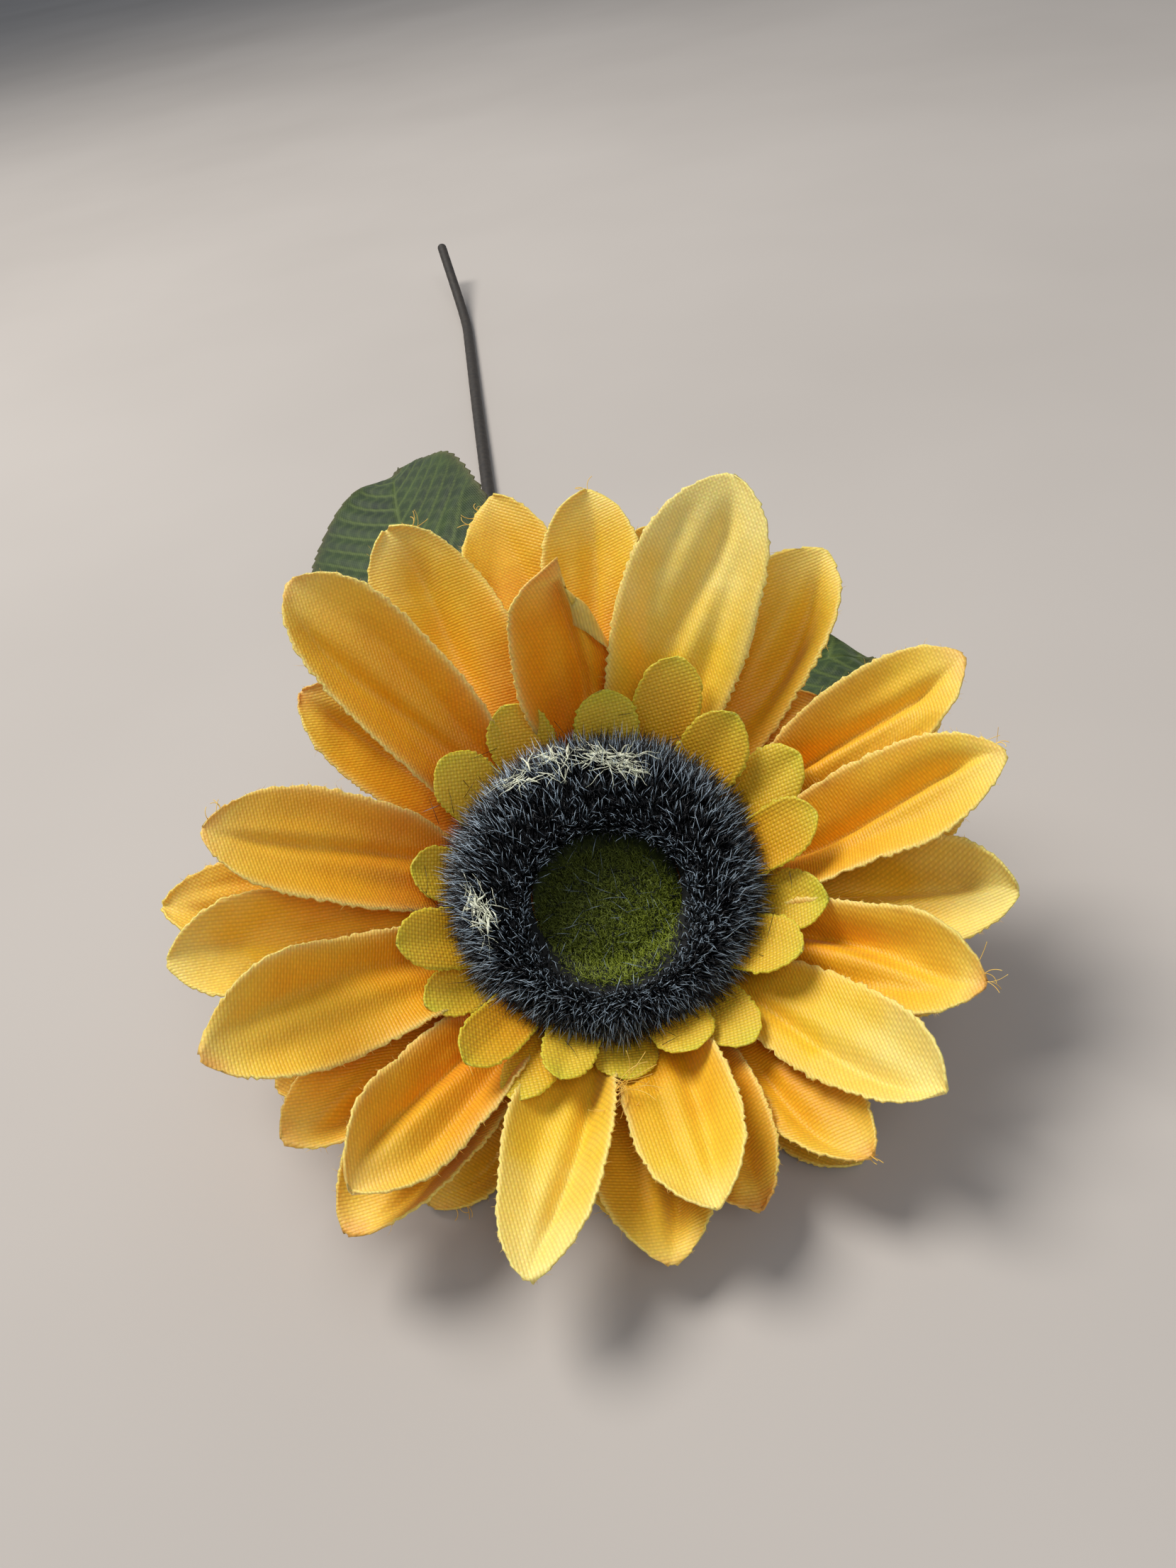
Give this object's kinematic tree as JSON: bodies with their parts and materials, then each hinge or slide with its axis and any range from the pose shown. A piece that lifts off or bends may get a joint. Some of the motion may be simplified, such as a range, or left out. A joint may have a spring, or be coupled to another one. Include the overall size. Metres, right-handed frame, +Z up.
{
  "type": "flower hair clip",
  "caption": "Artificial fabric sunflower with a furry dark centre, wire stem and two leaves, and a sprung hair clip fixed behind the head.",
  "frame": {"origin": "on the table it lies on, under the middle of its outer box", "axes": "+Z up, +Y along the stem away from the flower, the flower's face looks up and towards -Y"},
  "size_m": [0.1478, 0.5188, 0.0775],
  "materials": {
    "petal_cloth": "satin-woven golden yellow polyester, stiffened and heat pressed, frayed cut edges",
    "short_petal_cloth": "plain-woven olive gold polyester, slightly sheer",
    "leaf_cloth": "dark green pressed cloth with raised veins",
    "fur": "black acrylic pile with pale shiny tips",
    "flock": "short olive green flock",
    "felt": "matte dark green felt",
    "green_plastic": "satin moulded polyethylene",
    "stem_plastic": "dark brown-green extruded sleeve, slightly scuffed",
    "wire_steel": "bare annealed wire",
    "clip_steel": "nickel plated, bright",
    "spring_steel": "drawn wire",
    "grip_rubber": "soft translucent non-slip strip"
  },
  "bodies": {
    "stem": {"stem_sleeve": "stem_plastic", "stem_wire": "wire_steel"},
    "head": {"petal_layer_front": "petal_cloth", "petal_layer_middle": "petal_cloth", "petal_layer_back": "petal_cloth", "short_petals_outer": "short_petal_cloth", "short_petals_inner": "short_petal_cloth", "sepal_layer": "leaf_cloth", "fur_ring": "fur", "flock_button": "flock", "head_pin": "green_plastic", "calyx_cup": "green_plastic", "felt_pad": "felt", "clip_base": "clip_steel", "clip_pin": "clip_steel", "clip_spring": "spring_steel", "clip_grip_strip": "grip_rubber"},
    "clip_lever": {"clip_lever": "clip_steel"},
    "leaf_left": {"leaf_blade_left": "leaf_cloth", "leaf_rib_left": "green_plastic", "leaf_collar_left": "green_plastic"},
    "leaf_right": {"leaf_blade_right": "leaf_cloth", "leaf_rib_right": "green_plastic", "leaf_collar_right": "green_plastic"}
  },
  "joints": [
    {"name": "head_pull_off", "type": "slide", "parent": "stem", "child": "head", "axis": [0, -0.4695, 0.8829], "range_m": [0, 0.012]},
    {"name": "clip_hinge", "type": "hinge", "parent": "head", "child": "clip_lever", "pos_m": [-0.0078, -0.17059, 0.01753], "axis": [0, 0.8829, 0.4695], "range_deg": [0, 32], "stiffness_Nm_per_rad": 0.02, "springref_deg": -34.38, "deforming": ["clip_spring"]},
    {"name": "leaf_left_turn", "type": "hinge", "parent": "stem", "child": "leaf_left", "pos_m": [-0.0088, -0.091, 0.00363], "axis": [-0.1047, 0.9945, 0], "range_deg": [0, 45]},
    {"name": "leaf_right_turn", "type": "hinge", "parent": "stem", "child": "leaf_right", "pos_m": [-0.0048, -0.129, 0.00363], "axis": [-0.1047, 0.9945, 0], "range_deg": [-45, 0]}
  ]
}
